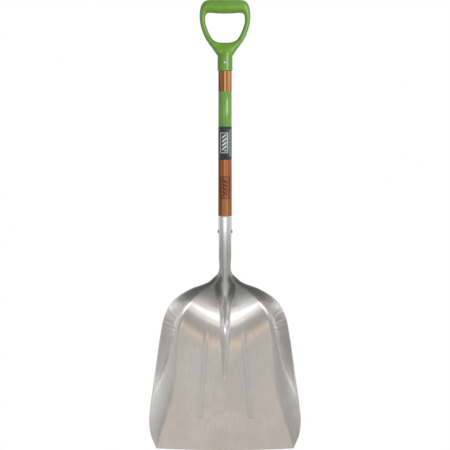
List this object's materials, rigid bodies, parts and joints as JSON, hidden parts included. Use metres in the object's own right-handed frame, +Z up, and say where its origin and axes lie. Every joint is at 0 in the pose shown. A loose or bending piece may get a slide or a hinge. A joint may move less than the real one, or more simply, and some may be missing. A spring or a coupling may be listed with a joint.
{
  "type": "grain scoop shovel",
  "caption": "Wide aluminium grain scoop shovel: raised-rim dished pan with rolled socket and frog, round ash shaft with a green band and black label, green D-grip, through rivets.",
  "frame": {"origin": "underside of the grip's crossbar at its middle, on the shaft's axis, where the shovel hangs on a hook", "axes": "+Z up along the shaft towards the grip, -Y the way the scoop's hollow faces, +X across the scoop"},
  "size_m": [0.3878, 0.1049, 1.1502],
  "materials": {
    "aluminium_sheet": "rolled and lightly brushed, satin",
    "ash_wood": "clear varnish, straight grain",
    "green_plastic": "moulded, semi-gloss",
    "green_film": "glossy film",
    "black_film": "printed satin film",
    "rivet_steel": "bright zinc"
  },
  "bodies": {
    "root": {"scoop": "aluminium_sheet", "handle_shaft": "ash_wood", "d_grip": "green_plastic", "colour_band": "green_film", "label_wrap": "black_film", "socket_rivet": "rivet_steel", "grip_rivet": "rivet_steel"}
  },
  "joints": []
}
